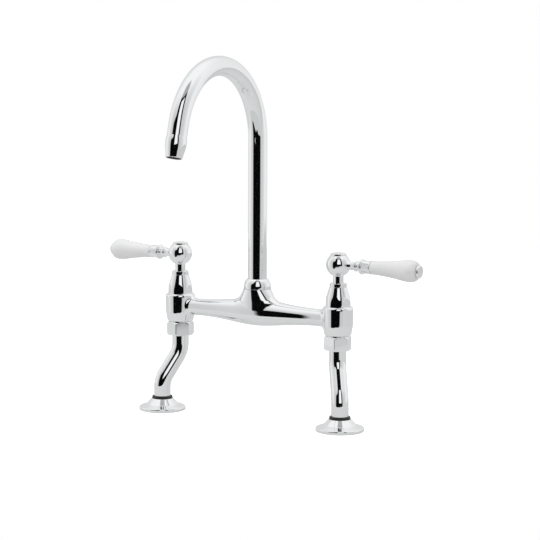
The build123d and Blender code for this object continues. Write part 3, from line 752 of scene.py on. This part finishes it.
def cranked_leg(name, side):
    """The leg: down the valve's axis, over to the foot's axis in two equal bends, and down again."""
    top = Vector((side * valve_x, bridge_y, leg_top))
    over = Vector((side * foot_x - side * valve_x, -bridge_y, 0))
    across = over.length
    over.normalize()
    down = Vector((0, 0, -1))
    slope = math.radians(leg_slope)
    centre_height = (nut_low + foot_ring_top) / 2
    before_bend = leg_bend_radius * math.tan(slope / 2)
    upper = centre_height + across / math.tan(slope) / 2 + before_bend
    lower = centre_height - across / math.tan(slope) / 2 - before_bend
    slant = down * math.cos(slope) + over * math.sin(slope)
    axis = down.cross(over)
    upper_start = Vector((top.x, top.y, upper))
    lower_end = Vector((side * foot_x, 0, lower))

    piece = ring(f"{name}_cranked_leg", leg_radius, top)
    draw_out(down * (leg_top - upper))
    bend(upper_start + over * leg_bend_radius, axis, leg_slope, leg_bend_steps)
    draw_out(slant * (across / math.sin(slope) - 2 * before_bend))
    bend(lower_end - over * leg_bend_radius, axis, -leg_slope, leg_bend_steps)
    draw_out(down * lower)
    tidy_mesh()
    give_wall(piece, leg_radius - leg_bore)
    finish(piece, f"{name}_leg", "polished_chrome", f"{name}_leg_tube")


def foot(name, side):
    """The flange on the worktop, and the black ring between it and the leg."""
    place = Matrix.Translation((side * foot_x, 0, 0))
    high = flange_top / mm
    seat = high - 0.8
    flange = outline(
        (20.55, 0), (25, 0, 0.8), (25, 3.6, 1.5), (17.2, 6.2, 2.0), (11.7, high, 0.3), (10.98, high),
        (10.98, seat), (10.73, seat), (10.73, 3), (20.55, 3), (20.55, 0),
    )
    seal = outline(
        (9.03, seat), (10.95, seat), (10.95, seat + 3.6, 1.3), (9.03, seat + 3.6, 0.3), (9.03, seat))
    for part, shape, slot in (("flange", flange, "polished_chrome"), ("ring", seal, "black_rubber")):
        finish(turned(f"{name}_{part}", shape), f"{name}_leg", slot, f"{name}_foot_{part}", place)


def threaded_tail(name, side):
    """The tail below the worktop, with its half-inch pipe thread cut for the backnut and for the hose."""
    pitch = 1.814 * mm
    depth = 1.162 * mm
    pitch_radius = 9.897 * mm
    upper_run = (-46 * mm, -16 * mm)
    lower_run = (tail_end, -48 * mm)
    bore, shank, groove, thread = leg_bore / mm, 10.478, 9.1, pitch_radius / mm
    high, low = [[z / mm for z in reversed(run)] for run in (upper_run, lower_run)]
    shape = outline(
        (bore, 0), (shank, 0), (shank, high[0]), (thread, high[0]), (thread, high[1]), (groove, high[1]),
        (groove, low[0]), (thread, low[0]), (thread, low[1]), (bore, low[1]), (bore, 0),
    )
    line = [shape[0]]
    for here, there in zip(shape, shape[1:]):
        threaded = abs(here.x - pitch_radius) < weld and abs(there.x - pitch_radius) < weld
        line += divided([here, there], pitch / 8 if threaded else 1)[1:]
    piece = turned(f"{name}_threaded_tail", line, thread_steps)
    places = points_of(piece)
    radius = np.hypot(places[:, 0], places[:, 1])
    phase = places[:, 2] / pitch - np.arctan2(places[:, 1], places[:, 0]) / (2 * math.pi)
    ridge = np.clip(2.6 * (2 * np.abs(phase % 1 - 0.5) - 0.5), -1, 1)
    share = np.zeros(len(places))
    for foot_end, head_end in (upper_run, lower_run):
        inside = np.minimum(places[:, 2] - foot_end, head_end - places[:, 2]) / pitch
        share = np.maximum(share, np.clip(inside, 0, 1))
    share[np.abs(radius - pitch_radius) > 0.05 * mm] = 0
    places[:, :2] *= (1 + share * ridge * depth / 2 / np.maximum(radius, weld))[:, None]
    move_points(piece, places)
    finish(piece, f"{name}_leg", "machined_brass", f"{name}_leg_tail",
           Matrix.Translation((side * foot_x, 0, 0)))


# Spout


def spout_dome():
    """The domed nut that holds the spout down on the column."""
    dome = outline((11.83, 0.05), (14.6, 0.05, 0.25), (14.6, 2.2))
    dome += flowing([(14.6, 2.2), (13.7, 6.6), (10.43, 10.6)], (0, 1), (-1, 0.35), 18)[1:]
    dome += outline((10.08, 10.6), (10.08, 7.5), (11.83, 7.5), (11.83, 0.05))
    place = Matrix.Translation((0, bridge_y, column_joint))
    finish(turned("spout_dome", dome), "bridge", "polished_chrome", "spout_collar", place)


def swan_neck():
    """The spout tube: straight up, round the arch, and a short straight run into the nozzle."""
    base = Vector((0, bridge_y, spout_foot))
    turn = math.radians(arch_sweep)
    onward = Vector((0, -math.sin(turn), math.cos(turn)))
    arch_centre = Vector((0, bridge_y - arch_radius, riser_top))
    arch_end = arch_centre + Vector((0, math.cos(turn), math.sin(turn))) * arch_radius
    inward = (spout_radius - spout_wall / 2 - socket_clearance) / spout_radius
    piece = ring("swan_neck", spout_radius, base)
    draw_out((0, 0, riser_top - spout_foot))
    bend(arch_centre, (1, 0, 0), arch_sweep, arch_steps)
    draw_out(onward * (spout_straight_end - nozzle_socket))
    draw_out(onward * socket_step)
    shoulder = arch_end + onward * (spout_straight_end - nozzle_socket)
    bpy.ops.transform.resize(value=(inward, inward, inward), center_override=tuple(shoulder))
    draw_out(onward * nozzle_socket)
    tidy_mesh()
    give_wall(piece, spout_wall)
    finish(piece, "spout", "polished_chrome", "spout_tube")

    end = arch_end + onward * spout_straight_end
    sleeve = outline((9.4, 4), (10, 4))
    sleeve += flowing([(10, 4), (10.6, -1), (8.2, -17.5)], (0.2, -1), (-0.13, -1), 20)[1:-1]
    sleeve += outline(
        (8.22, -17.2), (8.0, -17.5), (7.5, -17.5, 0.12), (7.5, -13.9), (7.23, -13.9), (7.23, -3),
        (6.3, -3), (6.3, 0), (9.4, 0), (9.4, 4),
    )
    place = Matrix.Translation(end) @ Matrix.Rotation(math.radians(arch_sweep - 180), 4, "X")
    finish(turned("nozzle_sleeve", sleeve), "spout", "polished_chrome", "spout_nozzle", place)


# Camera, light and floor
camera_azimuth = 30.307
camera_pitch = 7.133
camera_place = Vector((1.00692, -1.67957, 0.40304))
camera_roll = 0.23
camera_lens = 126.69

# The tent of white paper that the chrome shows. Angles are in degrees: round the object from the
# camera's own direction, through half_circle either way, and up from level, through quarter_circle
# either way.
half_circle = 180
quarter_circle = 90
plain_white = (1, 1, 1, 1)

# The paper's brightness by the angle round, and how far plain white takes over by the angle up
paper_tones = (
    (-180, 0.72), (-150, 0.76), (-129, 0.82), (-106, 0.96), (-88, 0.78), (-70, 0.66), (-52, 0.62),
    (34, 0.63), (53, 0.66), (66, 0.7), (81, 0.8), (98, 0.95), (119, 0.88), (149, 0.84), (180, 0.72),
)
white_above = ((-90, 0), (30, 0), (62, 1), (90, 1))

# A grey card above the opening and a bright window in it: their sides by the angle round and their
# heights by the angle up, where 1 is inside and 0 outside, and their brightness
card_sides = ((-180, 0), (-46, 0), (-34, 1), (34, 1), (46, 0), (180, 0))
card_heights = ((-90, 0), (58, 0), (60, 1), (76, 1), (84, 0), (90, 0))
card_tone = 0.44
window_sides = ((-180, 0), (-13, 0), (-11, 1), (18, 1), (20, 0), (180, 0))
window_heights = ((-90, 0), (7, 0), (9, 1), (52, 1), (54, 0), (90, 0))
window_tone = 1

# The dark opening: its side edges as (angle up, angle round), its foot as (angle round, angle up)
opening_left = ((-90, -56), (24, -56), (36, -38), (90, -38))
opening_right = ((-90, -12), (-12, 5), (-9.5, 14), (-8, 26), (-6, 33), (90, 33))
opening_foot = ((-180, -32), (-42, -32), (-24, -17), (180, -17))
opening_heights = ((-90, 1), (57, 1), (61, 0))
opening_tone = 0.002
side_sharpness = 90
foot_sharpness = 45

# Light on the object, and the worktop's extent and glow
ambient_strength = 0.7
overhead_power = 6.5
overhead_size = 1.2
overhead_place = Vector((-0.35, -0.35, 1.5))
overhead_aim = Vector((0, 0, 0.15))
worktop_front = -0.25
worktop_back = 1.6
worktop_side = 1.6
worktop_glow = 0.9
worktop_glow_in_chrome = 0.14


def set_camera():
    data = bpy.data.cameras.new("camera")
    data.lens = camera_lens
    data.sensor_width = 36
    camera = bpy.data.objects.new("camera", data)
    bpy.context.scene.collection.objects.link(camera)
    camera.location = camera_place
    turn = Matrix.Rotation(math.radians(camera_azimuth), 3, "Z")
    tilt = Matrix.Rotation(math.radians(90 - camera_pitch), 3, "X")
    roll = Matrix.Rotation(math.radians(camera_roll), 3, "Z")
    camera.rotation_euler = (turn @ tilt @ roll).to_euler()
    bpy.context.scene.camera = camera


def share(angle, span):
    """Where an angle lies between -span and +span, from 0 to 1."""
    return (angle + span) / (2 * span)


def by_angle(span, stops):
    """A ramp's stops from (angle, brightness)."""
    return [(share(angle, span), tone) for angle, tone in stops]


def edge_by_angle(span, corners, edge_span):
    """A ramp's stops from the corners of an edge. What the ramp gives is an angle's share as well."""
    return [(share(angle, span), share(edge, edge_span)) for angle, edge in corners]


def past(tree, place, limit, sharpness):
    """Nought below the limit and one above it, with a short soft edge."""
    over = add(tree, "ShaderNodeMath", {0: place, 1: limit}, operation="SUBTRACT")
    return add(tree, "ShaderNodeMath", {0: over, 1: sharpness, 2: 0.5}, operation="MULTIPLY_ADD",
               use_clamp=True)


def paint(tree, under, part, tone):
    """Covers a part of what is under it with one brightness."""
    return add(tree, "ShaderNodeMix", {"Factor": part, 6: under, 7: (tone, tone, tone, 1)},
               data_type="RGBA").outputs[2]


def set_world():
    """A tent of white paper, open towards the camera, with a bright window in the dark of the opening.
    The camera sees plain white. Diffuse light is an even white."""
    world = bpy.data.worlds.new("paper_tent")
    bpy.context.scene.world = world
    world.use_nodes = True
    tree = world.node_tree
    tree.nodes.clear()
    way = add(tree, "ShaderNodeTexCoord").outputs["Generated"]
    way = add(tree, "ShaderNodeVectorRotate", {"Vector": way, "Angle": math.radians(90 - camera_azimuth)},
              rotation_type="Z_AXIS")
    parts = add(tree, "ShaderNodeSeparateXYZ", {"Vector": way}).outputs
    around = add(tree, "ShaderNodeMath", {0: parts["Y"], 1: parts["X"]}, operation="ARCTAN2")
    around = add(tree, "ShaderNodeMath", {0: around, 1: 1 / (2 * math.pi), 2: 0.5},
                 operation="MULTIPLY_ADD")
    rise = add(tree, "ShaderNodeMath", {0: parts["Z"]}, operation="ARCSINE")
    rise = add(tree, "ShaderNodeMath", {0: rise, 1: 1 / math.pi, 2: 0.5}, operation="MULTIPLY_ADD")

    def patch(across, upward):
        across = add(tree, "ShaderNodeValToRGB", {"Fac": around}, by_angle(half_circle, across))
        upward = add(tree, "ShaderNodeValToRGB", {"Fac": rise}, by_angle(quarter_circle, upward))
        return add(tree, "ShaderNodeMath", {0: across, 1: upward}, operation="MULTIPLY")

    paper = add(tree, "ShaderNodeValToRGB", {"Fac": around}, by_angle(half_circle, paper_tones))
    above = add(tree, "ShaderNodeValToRGB", {"Fac": rise}, by_angle(quarter_circle, white_above))
    seen = paint(tree, paper, above, 1)
    seen = paint(tree, seen, patch(card_sides, card_heights), card_tone)
    left, right = [
        add(tree, "ShaderNodeValToRGB", {"Fac": rise},
            edge_by_angle(quarter_circle, corners, half_circle))
        for corners in (opening_left, opening_right)]
    foot_edge = add(tree, "ShaderNodeValToRGB", {"Fac": around},
                    edge_by_angle(half_circle, opening_foot, quarter_circle))
    opening = add(tree, "ShaderNodeValToRGB", {"Fac": rise}, by_angle(quarter_circle, opening_heights))
    for within in (past(tree, around, left, side_sharpness), past(tree, right, around, side_sharpness),
                   past(tree, rise, foot_edge, foot_sharpness)):
        opening = add(tree, "ShaderNodeMath", {0: opening, 1: within}, operation="MULTIPLY")
    seen = paint(tree, seen, opening, opening_tone)
    seen = paint(tree, seen, patch(window_sides, window_heights), window_tone)

    path = add(tree, "ShaderNodeLightPath").outputs
    white = add(tree, "ShaderNodeBackground", {"Color": plain_white, "Strength": 1})
    tent = add(tree, "ShaderNodeBackground", {"Color": seen, "Strength": 1})
    even = add(tree, "ShaderNodeBackground", {"Color": plain_white, "Strength": ambient_strength})
    clear = add(tree, "ShaderNodeMath", {0: path["Is Camera Ray"], 1: path["Is Transmission Ray"]},
                operation="MAXIMUM")
    shown = add(tree, "ShaderNodeMixShader", {0: path["Is Glossy Ray"], 1: even, 2: tent})
    shown = add(tree, "ShaderNodeMixShader", {0: clear, 1: shown, 2: white})
    add(tree, "ShaderNodeOutputWorld", {"Surface": shown})


def set_lamps():
    """One large soft lamp overhead, a little to the user's left. The chrome doesn't show it."""
    data = bpy.data.lights.new("overhead", "AREA")
    data.shape = "DISK"
    data.size = overhead_size
    data.energy = overhead_power
    lamp = bpy.data.objects.new("overhead", data)
    bpy.context.scene.collection.objects.link(lamp)
    lamp.location = overhead_place
    lamp.rotation_euler = (overhead_aim - overhead_place).to_track_quat("-Z", "Y").to_euler()
    lamp.visible_glossy = False


def set_floor():
    """The white worktop. It ends a little in front of the object, so that the chrome shows the dark
    opening past its edge."""
    bpy.ops.mesh.primitive_plane_add(size=1, location=(0, 0, 0))
    floor = bpy.context.object
    floor.name = "worktop"
    depth = worktop_back - worktop_front
    floor.data.transform(Matrix.Translation((0, worktop_front + depth / 2, 0)) @ Matrix.Diagonal(
        (2 * worktop_side, depth, 1, 1)))
    material = bpy.data.materials.new("white_paper_sweep")
    material.use_nodes = True
    tree = material.node_tree
    tree.nodes.clear()
    place = add(tree, "ShaderNodeTexCoord").outputs["Object"]
    cloud = add(tree, "ShaderNodeTexNoise", {"Vector": place, "Scale": 1 / (60 * mm), "Detail": 2})
    tone = add(tree, "ShaderNodeValToRGB", {"Fac": cloud}, [(0.3, "#d2d2d2"), (0.7, "#d6d6d6")])
    paper = add(tree, "ShaderNodeBsdfDiffuse", {"Color": tone})
    path = add(tree, "ShaderNodeLightPath").outputs
    seen = add(tree, "ShaderNodeMath", {0: path["Is Camera Ray"], 1: path["Is Transmission Ray"]},
               operation="MAXIMUM")
    seen = add(tree, "ShaderNodeMath", {0: path["Is Glossy Ray"], 1: worktop_glow_in_chrome, 2: seen},
               operation="MULTIPLY_ADD")
    glow = add(tree, "ShaderNodeMath", {0: seen, 1: worktop_glow}, operation="MULTIPLY")
    light = add(tree, "ShaderNodeEmission", {"Color": plain_white, "Strength": glow})
    surface = add(tree, "ShaderNodeAddShader", {0: paper, 1: light})
    add(tree, "ShaderNodeOutputMaterial", {"Surface": surface})
    floor.data.materials.append(material)


bpy.ops.object.select_all(action="DESELECT")
finish_cad_nodes()
bridge_body()
spout_dome()
swan_neck()
for side_name, side_sign in sides.items():
    for make in (bell, hexagon_nut, ball, lever, cranked_leg, foot, threaded_tail):
        make(side_name, side_sign)

set_camera()
set_world()
set_lamps()
set_floor()
bpy.context.scene.view_settings.view_transform = "Standard"
